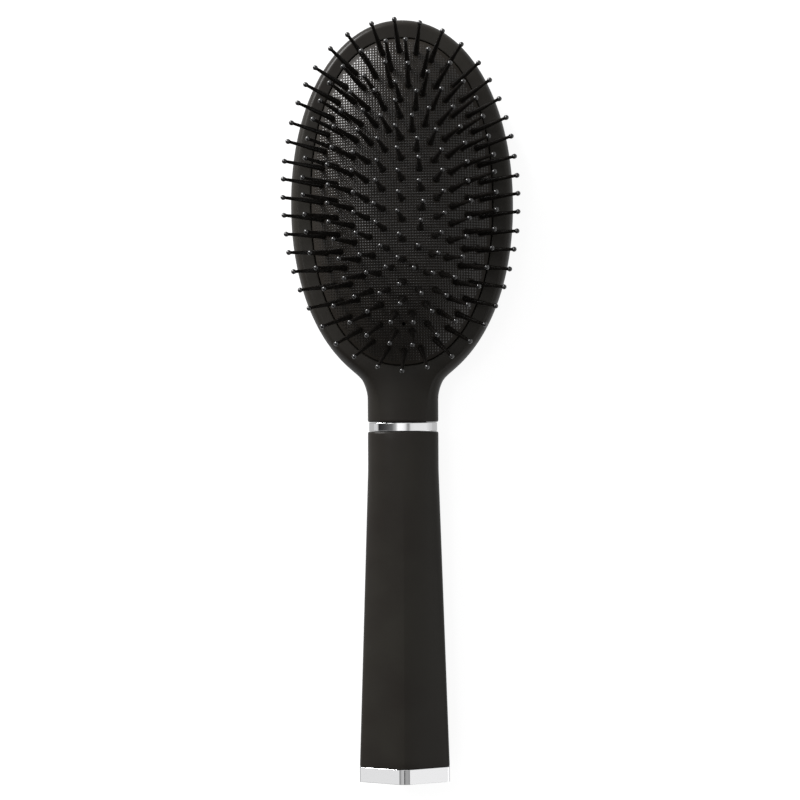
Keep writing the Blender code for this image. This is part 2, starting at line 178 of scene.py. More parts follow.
def buildWorld():
    # white to the camera, an even grey to matt surfaces, and the room itself to glossy ones
    world = bpy.data.worlds.new("studioWorld")
    bpy.context.scene.world = world
    world.use_nodes = True
    tree = world.node_tree
    tree.nodes.clear()
    place = addNode(tree, "ShaderNodeTexCoord").outputs["Generated"]
    parts = addNode(tree, "ShaderNodeSeparateXYZ", links={0: place})
    share = addNode(tree, "ShaderNodeMapRange", {"From Min": -1, "From Max": 1},
                    {"Value": parts.outputs["X"]})
    ramps = {}
    for part in ("upper", "middle", "lower"):
        stops = [(stop, grey(level)) for stop, level in room[part]]
        ramps[part] = addNode(tree, "ShaderNodeValToRGB", {"stops": stops},
                              {"Fac": share.outputs[0]}).outputs["Color"]
    fades = {}
    for part in ("upperFrom", "lowerFrom", "farWallFrom"):
        start, end = room[part]
        fades[part] = addNode(tree, "ShaderNodeMapRange", {"From Min": start, "From Max": end},
                              {"Value": parts.outputs["Y"]}).outputs[0]
    half = addNode(tree, "ShaderNodeMixRGB", links={
        0: fades["upperFrom"], 1: ramps["middle"], 2: ramps["upper"]})
    most = addNode(tree, "ShaderNodeMixRGB", links={
        0: fades["lowerFrom"], 1: half.outputs[0], 2: ramps["lower"]})
    walls = addNode(tree, "ShaderNodeMixRGB", {2: grey(room["farWall"])}, {
        0: fades["farWallFrom"], 1: most.outputs[0]})
    path = addNode(tree, "ShaderNodeLightPath")
    seen = addNode(tree, "ShaderNodeMath", {"operation": "MAXIMUM"},
                   {0: path.outputs["Is Camera Ray"], 1: path.outputs["Is Transmission Ray"]})
    ambient = addNode(tree, "ShaderNodeBackground", {"Color": grey(1), "Strength": studio["ambient"]})
    mirrored = addNode(tree, "ShaderNodeBackground", {"Strength": 1}, {"Color": walls.outputs[0]})
    white = addNode(tree, "ShaderNodeBackground", {"Color": grey(1), "Strength": 1})
    unseen = addNode(tree, "ShaderNodeMixShader", links={
        0: path.outputs["Is Glossy Ray"], 1: ambient.outputs[0], 2: mirrored.outputs[0]})
    whole = addNode(tree, "ShaderNodeMixShader", links={
        0: seen.outputs[0], 1: unseen.outputs[0], 2: white.outputs[0]})
    addNode(tree, "ShaderNodeOutputWorld", links={"Surface": whole.outputs[0]})


def buildFloor():
    bm = bmesh.new()
    bmesh.ops.create_grid(bm, x_segments=1, y_segments=1, size=studio["floorSize"] / 2)
    bmesh.ops.translate(bm, vec=(0, 0, -studio["floorDrop"]), verts=bm.verts)
    mesh = bpy.data.meshes.new("studioFloor")
    bm.to_mesh(mesh)
    bm.free()
    paper = bpy.data.materials.new("whiteSweepPaper")    # matt card: white, with a faint soft shadow
    paper.use_nodes = True
    tree = paper.node_tree
    tree.nodes.clear()
    path = addNode(tree, "ShaderNodeLightPath")
    seen = addNode(tree, "ShaderNodeMath", {"operation": "MAXIMUM"},
                   {0: path.outputs["Is Camera Ray"], 1: path.outputs["Is Transmission Ray"]})
    lit = addNode(tree, "ShaderNodeBsdfDiffuse", {"Color": grey(studio["floorWhite"])})
    glow = addNode(tree, "ShaderNodeEmission", {"Strength": studio["floorGlow"]})
    both = addNode(tree, "ShaderNodeAddShader", links={0: lit.outputs[0], 1: glow.outputs[0]})
    bounce = addNode(tree, "ShaderNodeBsdfDiffuse", {"Color": grey(studio["floorBounce"])})
    mirrored = addNode(tree, "ShaderNodeEmission", {"Strength": studio["floorMirrored"]})
    unseen = addNode(tree, "ShaderNodeMixShader", links={
        0: path.outputs["Is Glossy Ray"], 1: bounce.outputs[0], 2: mirrored.outputs[0]})
    whole = addNode(tree, "ShaderNodeMixShader", links={
        0: seen.outputs[0], 1: unseen.outputs[0], 2: both.outputs[0]})
    addNode(tree, "ShaderNodeOutputMaterial", links={"Surface": whole.outputs[0]})
    mesh.materials.append(paper)
    floor = bpy.data.objects.new("studioFloor", mesh)
    bpy.context.scene.collection.objects.link(floor)


def softTouchCoat():
    # soft-touch polyurethane sprayed on moulded ABS: black and satin, its highlights weak and wide,
    # with a spray grain of about 0.1 mm, drawn at 0.3 mm so that it shows
    look = {"dark": "#201d1a", "light": "#25231f", "tintRange": (0.35, 0.65), "cloudMm": 22,
            "smooth": 0.35, "rough": 0.43, "grainMm": 0.3, "grainDepthMm": 0.004, "grainShare": 0.5}
    finish, tree, shader, place = newFinish("softTouchCoat", {
        "IOR": 1.48, "Roughness": 0.4, "Specular IOR Level": 0.18})
    clouds = addNode(tree, "ShaderNodeTexNoise", {"Scale": grainScale(look["cloudMm"]), "Detail": 3},
                     {"Vector": place})
    low, high = look["tintRange"]
    tint = addNode(tree, "ShaderNodeValToRGB", {"stops": (
        (low, toLinear(look["dark"])), (high, toLinear(look["light"])))}, {"Fac": clouds.outputs["Fac"]})
    tree.links.new(tint.outputs["Color"], shader.inputs["Base Color"])
    grain = addNode(tree, "ShaderNodeTexNoise", {"Scale": grainScale(look["grainMm"]), "Detail": 2},
                    {"Vector": place})
    low, high = mostNoise
    satin = addNode(tree, "ShaderNodeMapRange", {
        "From Min": low, "From Max": high, "To Min": look["smooth"], "To Max": look["rough"]},
        {"Value": clouds.outputs["Fac"]})
    tree.links.new(satin.outputs[0], shader.inputs["Roughness"])
    bump = addNode(tree, "ShaderNodeBump", {
        "Strength": look["grainShare"], "Distance": look["grainDepthMm"] * mm},
        {"Height": grain.outputs["Fac"]})
    tree.links.new(bump.outputs[0], shader.inputs["Normal"])
    return finish


rubberLooks = {
    "ground": {"dark": "#1e1a16", "light": "#231f1a", "rough": 0.55, "specular": 0.15},
    "dots": {"dark": "#16130f", "light": "#1b1713", "rough": 0.19, "specular": 0.46},
    "cloudMm": 9, "roughSpread": 0.05,
}


def cushionRubber(name, look):
    # natural rubber, press moulded: near black, matt between the dots, and the raised dots polished
    # by the mould's hollows, so that each one glints
    finish, tree, shader, place = newFinish(name, {
        "IOR": 1.52, "Roughness": look["rough"], "Specular IOR Level": look["specular"]})
    clouds = addNode(tree, "ShaderNodeTexNoise", {"Scale": grainScale(rubberLooks["cloudMm"]), "Detail": 4},
                     {"Vector": place})
    low, high = mostNoise
    tint = addNode(tree, "ShaderNodeValToRGB", {"stops": (
        (low, toLinear(look["dark"])), (high, toLinear(look["light"])))}, {"Fac": clouds.outputs["Fac"]})
    tree.links.new(tint.outputs["Color"], shader.inputs["Base Color"])
    smooth, rough = look["rough"] - rubberLooks["roughSpread"], look["rough"] + rubberLooks["roughSpread"]
    polish = addNode(tree, "ShaderNodeMapRange", {
        "From Min": low, "From Max": high, "To Min": smooth, "To Max": rough},
        {"Value": clouds.outputs["Fac"]})
    tree.links.new(polish.outputs[0], shader.inputs["Roughness"])
    return finish


def mouldedNylon():
    # nylon 6, injection moulded: black, with a faint flow grain along the shafts
    look = {"dark": "#0c0a08", "light": "#120f0c", "flowMm": 1.5, "smooth": 0.28, "rough": 0.4}
    low, high = mostNoise
    finish, tree, shader, place = newFinish("mouldedNylon", {"IOR": 1.53, "Roughness": 0.34})
    flow = addNode(tree, "ShaderNodeTexNoise", {"Scale": grainScale(look["flowMm"]), "Detail": 2},
                   {"Vector": place})
    tint = addNode(tree, "ShaderNodeValToRGB", {"stops": (
        (low, toLinear(look["dark"])), (high, toLinear(look["light"])))}, {"Fac": flow.outputs["Fac"]})
    tree.links.new(tint.outputs["Color"], shader.inputs["Base Color"])
    sheen = addNode(tree, "ShaderNodeMapRange", {"To Min": look["smooth"], "To Max": look["rough"]},
                    {"Value": flow.outputs["Fac"]})
    tree.links.new(sheen.outputs[0], shader.inputs["Roughness"])
    return finish


def polishedNylonTip():
    # the same nylon, its ball end melted round: smooth as glass, with sharp glints
    look = {"dark": "#0c0b0b", "light": "#121111", "flowMm": 0.8}
    low, high = mostNoise
    finish, tree, shader, place = newFinish("polishedNylonTip", {
        "IOR": 1.53, "Roughness": 0.12, "Coat Weight": 0.6, "Coat Roughness": 0.08})
    flow = addNode(tree, "ShaderNodeTexNoise", {"Scale": grainScale(look["flowMm"])}, {"Vector": place})
    tint = addNode(tree, "ShaderNodeValToRGB", {"stops": (
        (low, toLinear(look["dark"])), (high, toLinear(look["light"])))}, {"Fac": flow.outputs["Fac"]})
    tree.links.new(tint.outputs["Color"], shader.inputs["Base Color"])
    return finish


def chromePlate():
    # bright chrome plated on ABS: a clear mirror with a slight waviness from the moulding
    look = {"silver": "#eeeeef", "smudgeMm": 3, "smooth": 0.04, "rough": 0.09,
            "waveMm": 5, "waveDepthMm": 0.004, "waveShare": 0.4}
    low, high = mostNoise
    finish, tree, shader, place = newFinish("chromePlate", {"Metallic": 1})
    shader.inputs["Base Color"].default_value = toLinear(look["silver"])
    smudge = addNode(tree, "ShaderNodeTexNoise", {"Scale": grainScale(look["smudgeMm"]), "Detail": 3},
                     {"Vector": place})
    gloss = addNode(tree, "ShaderNodeMapRange", {
        "From Min": low, "From Max": high, "To Min": look["smooth"], "To Max": look["rough"]},
        {"Value": smudge.outputs["Fac"]})
    tree.links.new(gloss.outputs[0], shader.inputs["Roughness"])
    waves = addNode(tree, "ShaderNodeTexNoise", {"Scale": grainScale(look["waveMm"])}, {"Vector": place})
    bump = addNode(tree, "ShaderNodeBump", {
        "Strength": look["waveShare"], "Distance": look["waveDepthMm"] * mm},
        {"Height": waves.outputs["Fac"]})
    tree.links.new(bump.outputs[0], shader.inputs["Normal"])
    return finish


def finishPiece(bm, name, finishes, body, nodes, sharpAngle=35):
    # welds the shape, makes it an object in metres and joins it to the part
    bmesh.ops.remove_doubles(bm, verts=bm.verts, dist=weldGap)
    bmesh.ops.recalc_face_normals(bm, faces=bm.faces)
    bmesh.ops.scale(bm, vec=(mm, mm, mm), verts=bm.verts)
    mesh = bpy.data.meshes.new(name)
    bm.to_mesh(mesh)
    bm.free()
    for finish in finishes:
        mesh.materials.append(finish)
    mesh.shade_smooth()
    mesh.set_sharp_from_angle(angle=math.radians(sharpAngle))
    piece = bpy.data.objects.new(name, mesh)
    bpy.context.scene.collection.objects.link(piece)
    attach(piece, body)
    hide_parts(*nodes)
    print("made", name, "with", len(mesh.polygons), "faces")
    return piece


def signedPower(value, power):
    return math.copysign(abs(value) ** power, value)


def ovalPlace(angle, halfWidth, halfLength, power):
    # a point on a superellipse; power 2 is an ellipse, more is squarer
    return (halfWidth * signedPower(math.cos(angle), 2 / power),
            halfLength * signedPower(math.sin(angle), 2 / power))


def evenShares(count):
    # shares from 0 up to but without 1
    return [step / count for step in range(count)]


def quarterTurns(steps):
    # angles over a quarter circle, both ends included
    return [math.pi / 2 * step / steps for step in range(steps + 1)]


def growLoop(bm, edges):
    # extrudes a loop on the spot and gives the new loop's edges and points
    grown = bmesh.ops.extrude_edge_only(bm, edges=edges)["geom"]
    points = [item for item in grown if isinstance(item, bmesh.types.BMVert)]
    lines = [item for item in grown if isinstance(item, bmesh.types.BMEdge)]
    return lines, points


def easedSteps(start, end, count):
    # values from start up to but without end, closer together near both
    return [start + (end - start) * (1 - math.cos(math.pi * step / count)) / 2 for step in range(count)]


# the cushion's seam and dome, which the head, the cushion and the pins share
dome = {
    "centreY": 63.6, "halfWidth": 28.95, "halfLength": 52.2, "power": 2.22,
    "height": 10, "fall": 3.1,      # fall: how flat the crown is and how steep the edge
    "sides": 180,                   # straight stretches round the seam
}


def domeShare(x, y):
    # 0 at the cushion's centre, 1 on its seam
    across = (abs(x) / dome["halfWidth"]) ** dome["power"]
    along = (abs(y) / dome["halfLength"]) ** dome["power"]
    return (across + along) ** (1 / dome["power"])


def domeHeight(x, y):
    return frontFace + dome["height"] * (1 - min(domeShare(x, y), 1) ** dome["fall"])


def seamSlope(x, y):
    # how fast domeShare grows across and along, but for a common factor
    return (signedPower(x / dome["halfWidth"], dome["power"] - 1) / dome["halfWidth"],
            signedPower(y / dome["halfLength"], dome["power"] - 1) / dome["halfLength"])


def seamNormal(x, y):
    # which way is out, square to the seam, at a point near it
    return Vector(seamSlope(x, y)).normalized()


def seamPlace(angle, offset):
    x, y = ovalPlace(angle, dome["halfWidth"], dome["halfLength"], dome["power"])
    out = seamNormal(x, y)
    return x + offset * out.x, y + offset * out.y


def followSeam(bm, edges, offset, profile, centreY=0):
    # grows a loop that starts at an offset from the seam through pairs of offset and height
    for wanted, height in profile:
        edges, points = growLoop(bm, edges)
        for vert in points:
            out = seamNormal(vert.co.x, vert.co.y - centreY)
            vert.co = (vert.co.x + out.x * (wanted - offset), vert.co.y + out.y * (wanted - offset), height)
        offset = wanted
    return edges


head = {
    # plan: an oval and the neck that it runs into
    "halfWidth": 35.78, "centreY": 63, "upperReach": 59.5, "lowerReach": 58.87, "ovalPower": 2.08,
    "neckHalfWidth": 11.38, "neckBlend": 12.9, "neckFlare": 0.004, "flareFromY": 0.5, "flareFade": 10.7,
    "ovalSteps": 104, "sideSteps": 48, "neckSteps": 14, "endSteps": 10,
    "sideTurn": 0.36, "neckTurn": 0.07,     # how far round the seam a side and the neck reach, in half turns
    # section: round from the widest line to the back and to the front face
    "widestHeight": 8, "backRound": 9, "frontRound": 2.6, "backPower": 2, "frontPower": 2.2,
    "backSteps": 14, "frontSteps": 12, "flatSteps": 10,
    # recess for the cushion, with a groove under its lip
    "seamGap": 0.15, "lipRadius": 0.3, "lipSteps": 4, "lipThickness": 1.6, "grooveHeight": 2,
    "grooveReach": 1.7, "chamberInset": 1, "backWall": 4,
    # neck: rounded from neckRoundFrom down and away from the seam, drawn too long by cutRoom and cut,
    # with a tang that goes into the handle
    "sectionPower": 2.4, "neckRoundFrom": 20, "seamClear": 6, "neckEndY": -6.8, "cutRoom": 6,
    "neckEdge": 0.6, "neckEdgeSteps": 6,
    "tangHalfWidth": 7.5, "tangHalfDepth": 4, "tangPower": 3, "tangEndY": -42, "tangBevel": 0.8,
}


def neckHalfWidth(y):
    # straight sides that spread in a curve towards the head, which dies out inside the oval
    up = max(y - head["flareFromY"], 0)
    return head["neckHalfWidth"] * (1 + head["neckFlare"] * up ** 2 / (1 + (up / head["flareFade"]) ** 4))


def headHalfWidth(y):
    # from the middle of the head down: an oval that runs into the neck
    below = (head["centreY"] - y) / head["lowerReach"]
    if below >= 1:
        return neckHalfWidth(y)
    oval = head["halfWidth"] * (1 - below ** head["ovalPower"]) ** (1 / head["ovalPower"])
    neck = neckHalfWidth(y) * min(2 * below, 1)     # fades out towards the middle of the head
    return (oval ** head["neckBlend"] + neck ** head["neckBlend"]) ** (1 / head["neckBlend"])


def headRim():
    # places round the head's plan, from the right over the top, each with the seam angle it faces
    rim = []
    for share in evenShares(head["ovalSteps"]):
        x, y = ovalPlace(math.pi * share, head["halfWidth"], head["upperReach"], head["ovalPower"])
        rim.append((x, head["centreY"] + y, math.pi * share))
    left = []
    lowY = head["centreY"] - head["lowerReach"]
    endY = head["neckEndY"] - head["cutRoom"]
    for share in evenShares(head["sideSteps"]):
        y = head["centreY"] - head["lowerReach"] * math.sin(math.pi / 2 * share)
        left.append((-headHalfWidth(y), y, math.pi * (1 + head["sideTurn"] * share)))
    for share in evenShares(head["neckSteps"]):
        y = lowY + (endY - lowY) * share
        left.append((-neckHalfWidth(y), y, math.pi * (1 + head["sideTurn"] + head["neckTurn"] * share)))
    for share in evenShares(head["endSteps"]):
        left.append((-head["neckHalfWidth"] * (1 - share), endY,
                     math.pi * (1.5 - head["neckTurn"] * (1 - share))))
    right = [(-x, y, math.pi * 3 - angle) for x, y, angle in reversed(left[1:])]
    return rim + left + [(0, endY, math.pi * 1.5)] + right


def rimNormals(rim):
    # which way is out of the plan at each place; the neck's end only gets narrower
    normals = []
    for index, (x, y, _) in enumerate(rim):
        before, after = rim[index - 1], rim[(index + 1) % len(rim)]
        out = Vector((after[1] - before[1], before[0] - after[0])).normalized()
        normals.append(out if y > 0 else Vector((x / head["neckHalfWidth"], 0)))
    return normals


def polarReach(angle, halfWidth, halfDepth, power):
    # distance from the middle of a rounded section to its edge
    across = abs(math.cos(angle)) / halfWidth
    up = abs(math.sin(angle)) / halfDepth
    return (across ** power + up ** power) ** (-1 / power)


def easeInOut(share):
    share = min(max(share, 0), 1)
    return share * share * (3 - 2 * share)


def roundNeck(bm):
    # the neck's section turns into the handle's superellipse towards its end, clear of the seam
    for vert in bm.verts:
        fromEnd = (vert.co.y - head["neckEndY"]) / (head["neckRoundFrom"] - head["neckEndY"])
        if fromEnd < 1:
            away = (domeShare(vert.co.x, vert.co.y - dome["centreY"]) - 1) * dome["halfLength"]
            share = easeInOut(1 - fromEnd) * easeInOut(away / head["seamClear"])
            x, z = vert.co.x, vert.co.z - midDepth
            halfWidth = headHalfWidth(vert.co.y)
            angle = math.atan2(z, x)
            wanted = polarReach(angle, halfWidth, midDepth, head["sectionPower"])
            vert.co.x += share * (wanted * math.cos(angle) - x)
            vert.co.z += share * (wanted * math.sin(angle) - z)


def roundHead(bm, rim):
    # from the widest line round to the back, which is closed, and round to the front face; then the
    # flat face in to the cushion's seam. Gives the open loop there and its offset from the seam
    normals = rimNormals(rim)
    layer = bm.verts.layers.int.new("place")
    plate = bmesh.ops.create_circle(bm, segments=len(rim), radius=1)["verts"]
    for index, vert in enumerate(plate):
        vert[layer] = index
        vert.co = (*rim[index][:2], head["widestHeight"])
    widest = bm.edges[:]
    for reach, height, power, steps in (
            (head["backRound"], -head["widestHeight"], head["backPower"], head["backSteps"]),
            (head["frontRound"], frontFace - head["widestHeight"], head["frontPower"], head["frontSteps"])):
        edges = widest
        for step in range(1, steps + 1):
            out, up = ovalPlace(math.pi / 2 * step / steps, 1, 1, power)
            edges, points = growLoop(bm, edges)
            for vert in points:
                plan = Vector(rim[vert[layer]][:2]) - normals[vert[layer]] * reach * (1 - out)
                vert.co = (*plan, head["widestHeight"] + height * up)
        if height < 0:
            bmesh.ops.edgeloop_fill(bm, edges=edges)
    lipTop = head["seamGap"] + head["lipRadius"]
    starts = {vert[layer]: vert.co.copy() for vert in points}
    for step in range(1, head["flatSteps"] + 1):
        edges, points = growLoop(bm, edges)
        for vert in points:
            x, y = seamPlace(rim[vert[layer]][2], lipTop)
            lip = Vector((x, dome["centreY"] + y, frontFace))
            vert.co = starts[vert[layer]].lerp(lip, step / head["flatSteps"])
    bm.verts.layers.int.remove(layer)
    return edges, lipTop


def sinkRecess(bm, edges, lipTop):
    # over the lip, round the groove under it and down to the back wall
    profile = []
    for turn in quarterTurns(head["lipSteps"])[1:]:
        profile.append((head["seamGap"] + head["lipRadius"] * (1 - math.sin(turn)),
                        frontFace - head["lipRadius"] * (1 - math.cos(turn))))
    lipBottom = frontFace - head["lipThickness"]
    grooveBottom = lipBottom - head["grooveHeight"]
    profile += [(head["seamGap"], lipBottom), (head["grooveReach"], lipBottom),
                (head["grooveReach"], grooveBottom), (-head["chamberInset"], grooveBottom),
                (-head["chamberInset"], head["backWall"])]
    edges = followSeam(bm, edges, lipTop, profile, dome["centreY"])
    bmesh.ops.edgeloop_fill(bm, edges=edges)


def endNeck(bm):
    # cuts the neck square, softens its end and draws the tang out of it
    cut = bmesh.ops.bisect_plane(bm, geom=bm.verts[:] + bm.edges[:] + bm.faces[:], dist=onCut,
                                 plane_co=(0, head["neckEndY"] + head["neckEdge"], 0),
                                 plane_no=(0, -1, 0), clear_outer=True)["geom_cut"]
    edges = [item for item in cut if isinstance(item, bmesh.types.BMEdge)]
    quarter = quarterTurns(head["neckEdgeSteps"])
    for before, turn in zip(quarter, quarter[1:]):
        edges, points = growLoop(bm, edges)
        for vert in points:
            away = Vector((vert.co.x, vert.co.z - midDepth))
            closer = away.normalized() * head["neckEdge"] * (math.cos(before) - math.cos(turn))
            vert.co -= Vector((closer.x, 0, closer.y))
            vert.co.y = head["neckEndY"] + head["neckEdge"] * (1 - math.sin(turn))
    bevel = head["tangBevel"]
    for y, smaller in ((head["neckEndY"], 0), (head["tangEndY"] + bevel, 0), (head["tangEndY"], bevel)):
        edges, points = growLoop(bm, edges)
        for vert in points:
            angle = math.atan2(vert.co.z - midDepth, vert.co.x)
            reach = polarReach(angle, head["tangHalfWidth"] - smaller, head["tangHalfDepth"] - smaller,
                               head["tangPower"])
            vert.co = (reach * math.cos(angle), y, midDepth + reach * math.sin(angle))
    bmesh.ops.edgeloop_fill(bm, edges=edges)


def buildHead(coat):
    bm = bmesh.new()
    edges, lipTop = roundHead(bm, headRim())
    sinkRecess(bm, edges, lipTop)
    roundNeck(bm)
    endNeck(bm)
    return finishPiece(bm, "head_body", [coat], "brush_body", ["head_shell"])


cushion = {
    "rubberMm": 1.4, "seamGap": 0.15, "edgeRadius": 0.45, "edgeSteps": 5,
    "skirtBottom": 14.2, "skirtWidth": 1.1,
    "turn": 0.73,           # degrees that the cushion sits turned in the head
    # dots: one on each square that is whole and not under a pin, raised in steps of inset and rise
    "pitch": 0.885, "wholeShare": 0.98, "clearRound": 1.15, "dotFrame": 0.1, "dotRadius": 0.4,
    "dotSteps": ((0.09, 0.055), (0.07, 0.01)),
    # vent: squares within clearVent make way for it, and its rim lies within ventReach
    "ventY": -39.25, "ventRadius": 0.55, "ventSides": 16, "clearVent": 1.0, "ventReach": 2,
    # bead: in the head's groove, with a web up to the skirt
    "beadReach": 1.4, "beadTop": 13.1, "beadBottom": 11.7, "beadInset": 2.3, "beadBevel": 0.3,
    "webOuter": 0.3, "webInner": 1.3, "webGap": 0.05,
}


def cutGrid(bm, half, axis):
    # cuts the sheet along one set of the dot grid's lines
    lines = int(half / cushion["pitch"]) + 2
    square = Matrix.Rotation(math.radians(cushion["turn"] + 90 * axis), 3, "Z") @ Vector((1, 0, 0))
    for line in range(-lines, lines + 1):
        place = square * (line + 0.5) * cushion["pitch"]
        bmesh.ops.bisect_plane(bm, geom=bm.verts[:] + bm.edges[:] + bm.faces[:], dist=onCut,
                               plane_co=place, plane_no=square)


def ventPlace():
    # on the cushion's middle line, which is turned in the head
    return Matrix.Rotation(math.radians(cushion["turn"]), 3, "Z") @ Vector((0, cushion["ventY"], 0))


def cutVent(bm):
    # the squares round the vent make way for a ring of faces with a round hole in it
    centre = ventPlace()
    near = [face for face in bm.faces if (face.calc_center_median() - centre).length < cushion["clearVent"]]
    border = [edge for edge in {edge for face in near for edge in face.edges}
              if sum(face in near for face in edge.link_faces) == 1]
    bmesh.ops.delete(bm, geom=near, context="FACES")
    rim = bmesh.ops.create_circle(bm, segments=cushion["ventSides"], radius=cushion["ventRadius"],
                                  matrix=Matrix.Translation(centre))["verts"]
    bmesh.ops.bridge_loops(bm, edges=border + list({edge for vert in rim for edge in vert.link_edges}))


def raiseDots(bm, cells):
    # the middle of each square becomes an octagon, which rises in two steps into a round dot
    bmesh.ops.inset_individual(bm, faces=cells, thickness=cushion["dotFrame"], use_even_offset=True)
    bmesh.ops.subdivide_edges(bm, edges=list({edge for face in cells for edge in face.edges}), cuts=1)
    for face in cells:
        centre = face.calc_center_median()
        for vert in face.verts:
            vert.co = centre + (vert.co - centre).normalized() * cushion["dotRadius"]
        face.material_index = 1
    for thickness, depth in cushion["dotSteps"]:
        slopes = bmesh.ops.inset_individual(bm, faces=cells, thickness=thickness, use_even_offset=True,
                                            depth=depth)["faces"]
        for face in slopes:
            face.material_index = 1


def wholeCells(bm, feet):
    # the squares that the seam, the vent and the pins leave whole
    tree = KDTree(len(feet))
    for index, (x, y) in enumerate(feet):
        tree.insert((x, y, 0), index)
    tree.balance()
    whole = cushion["wholeShare"] * cushion["pitch"] ** 2
    return [face for face in bm.faces if len(face.verts) == 4 and face.calc_area() > whole
            and tree.find(face.calc_center_median())[2] > cushion["clearRound"]]


def backSheet(bm):
    # a second sheet under the first, joined to it round the vent; gives the seam's edges of both
    vent = ventPlace()
    seam, hole = [], []
    for edge in bm.edges:
        if edge.is_boundary:
            if (edge.verts[0].co.xy - vent.xy).length > cushion["ventReach"]:
                seam.append(edge)
            else:
                hole.append(edge)
    under = bmesh.ops.duplicate(bm, geom=bm.verts[:] + bm.edges[:] + bm.faces[:])
    underSeam = [under["edge_map"][edge] for edge in seam]
    underHole = [under["edge_map"][edge] for edge in hole]
    lower = [item for item in under["geom"] if isinstance(item, bmesh.types.BMVert)]
    inner = [item for item in under["geom"] if isinstance(item, bmesh.types.BMFace)]
    bmesh.ops.translate(bm, vec=(0, 0, -cushion["rubberMm"]), verts=lower)
    bmesh.ops.reverse_faces(bm, faces=inner)
    bmesh.ops.bridge_loops(bm, edges=hole + underHole)
    return seam, underSeam


def rollEdge(bm, edges):
    # the face rolls over at the seam, goes straight down past the lip and turns back under
    radius = cushion["edgeRadius"]
    quarter = quarterTurns(cushion["edgeSteps"])
    for before, turn in zip(quarter, quarter[1:]):
        reach = radius * (math.sin(turn) - math.sin(before))
        drop = radius * (math.cos(before) - math.cos(turn))
        edges, points = growLoop(bm, edges)
        for vert in points:
            out = seamNormal(vert.co.x, vert.co.y)
            vert.co += Vector((out.x * reach, out.y * reach, -drop))
    for inward in (0, cushion["skirtWidth"]):
        edges, points = growLoop(bm, edges)
        for vert in points:
            out = seamNormal(vert.co.x, vert.co.y)
            vert.co = (vert.co.x - out.x * inward, vert.co.y - out.y * inward, cushion["skirtBottom"])
    return edges


def buildCushion(rubbers, feet):
    # one moulded membrane: a flat oval sheet is cut into the dot grid, laid on the dome, given its
    # edge and underside, and then each whole square away from a pin is raised into a dot
    bm = bmesh.new()
    sheet = bmesh.ops.create_circle(bm, cap_ends=True, segments=dome["sides"], radius=1)["verts"]
    for vert, share in zip(sheet, evenShares(dome["sides"])):
        vert.co = (*seamPlace(math.tau * share, -cushion["seamGap"] - cushion["edgeRadius"]), 0)
    cutGrid(bm, dome["halfWidth"], 0)
    cutGrid(bm, dome["halfLength"], 1)
    cutVent(bm)
    print("cushion sheet cut into", len(bm.faces), "squares")
    cells = wholeCells(bm, feet)
    for vert in bm.verts:
        vert.co.z = domeHeight(vert.co.x, vert.co.y)
    seam, underSeam = backSheet(bm)
    bmesh.ops.bridge_loops(bm, edges=rollEdge(bm, seam) + underSeam)
    raiseDots(bm, cells)
    bmesh.ops.translate(bm, vec=(0, dome["centreY"], 0), verts=bm.verts)
    piece = finishPiece(bm, "cushion_face", rubbers, "brush_body", ["cushion_pad"],
                        sharpAngle=60)
    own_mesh(piece)
    return piece


def buildCushionBead(rubber):
    # the membrane's thick edge, held in the head's groove, which stays put when the cushion sinks
    reach, bevel, bottom = cushion["beadReach"], cushion["beadBevel"], cushion["beadBottom"]
    top, webTop = cushion["beadTop"], cushion["skirtBottom"] - cushion["webGap"]
    profile = (
        (-cushion["webOuter"], webTop), (-cushion["webOuter"], top), (reach - bevel, top),
        (reach, top - bevel), (reach, bottom + bevel), (reach - bevel, bottom),
        (-cushion["beadInset"], bottom), (-cushion["beadInset"], top), (-cushion["webInner"], webTop),
    )
    bm = bmesh.new()
    first = bmesh.ops.create_circle(bm, segments=dome["sides"], radius=1)["verts"]
    for vert, share in zip(first, evenShares(dome["sides"])):
        vert.co = (*seamPlace(math.tau * share, profile[0][0]), profile[0][1])
    start = bm.edges[:]
    last = followSeam(bm, start, profile[0][0], profile[1:])
    bmesh.ops.bridge_loops(bm, edges=start + last)
    bmesh.ops.translate(bm, vec=(0, dome["centreY"], 0), verts=bm.verts)
    return finishPiece(bm, "cushion_bead", [rubber], "brush_body", ["cushion_pad"])


pins = {
    # each ring's half width, half length, number of pins, and share of a step before the first
    "rings": ((25.5, 47.8, 44, 0), (21.0, 41.8, 38, 0.5), (16.1, 36.5, 32, 0.5), (11.2, 31.4, 24, 0),
              (6.2, 26.2, 18, 0)),
    "ringPower": 2.1, "ringSteps": 720, "rowHalfLength": 19.2, "rowCount": 7,
    "spreadAcross": 1.33, "spreadAlong": 1.02,      # lean away from the middle, 1 is square to the dome
    "lean": (-0.06, 0.053), "wander": 1.1,          # what all lean by, and degrees for each on its own
    "seed": 11,
    # height over the dome and radius, from the root in the rubber up
    "shaft": ((-1.0, 0.0), (-1.0, 0.85), (0.0, 1.08), (1.2, 1.0), (5.0, 0.84), (10.0, 0.62), (14.3, 0.49)),
    "ballRadius": 0.84, "ballHeight": 15.2, "ballDegrees": (-34, 0, 30, 60, 90), "sides": 8,
    "polishFrom": -0.7,     # height over the ball's middle at which the polished tip starts
}


